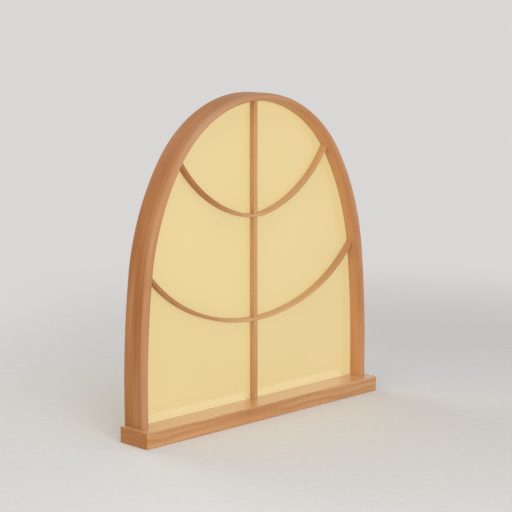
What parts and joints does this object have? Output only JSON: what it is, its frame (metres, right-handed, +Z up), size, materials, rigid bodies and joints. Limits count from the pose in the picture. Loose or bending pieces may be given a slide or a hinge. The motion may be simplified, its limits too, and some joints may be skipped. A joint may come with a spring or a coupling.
{
  "type": "arched window",
  "caption": "Arched wooden window with a bent nosed frame, a projecting sill, pale opal glass and a grille of one upright and sagging curved glazing bars.",
  "frame": {"origin": "below the middle of the part, on the underside of the sill", "axes": "+X along the sill to the right seen from the front, +Y from the front to the wall, +Z up"},
  "size_m": [1, 0.118, 0.9985],
  "materials": {
    "frame_wood": "satin oiled",
    "sill_wood": "satin oiled",
    "bar_wood": "satin oiled",
    "bead_wood": "satin oiled",
    "opal_glass": "smooth opal",
    "glazing_tape": "matte",
    "setting_block": "matte",
    "pin_steel": "bright",
    "screw_steel": "plated"
  },
  "bodies": {
    "root": {"arch_frame": "frame_wood", "sill_board": "sill_wood", "vertical_bar": "bar_wood", "upper_curved_bar": "bar_wood", "lower_curved_bar": "bar_wood", "glass_pane": "opal_glass", "frame_tape": "glazing_tape", "bar_tape": "glazing_tape", "setting_blocks": "setting_block", "bead_left": "bead_wood", "bead_right": "bead_wood", "bead_bottom": "bead_wood", "bead_pins": "pin_steel", "sill_screws": "screw_steel"}
  },
  "joints": []
}
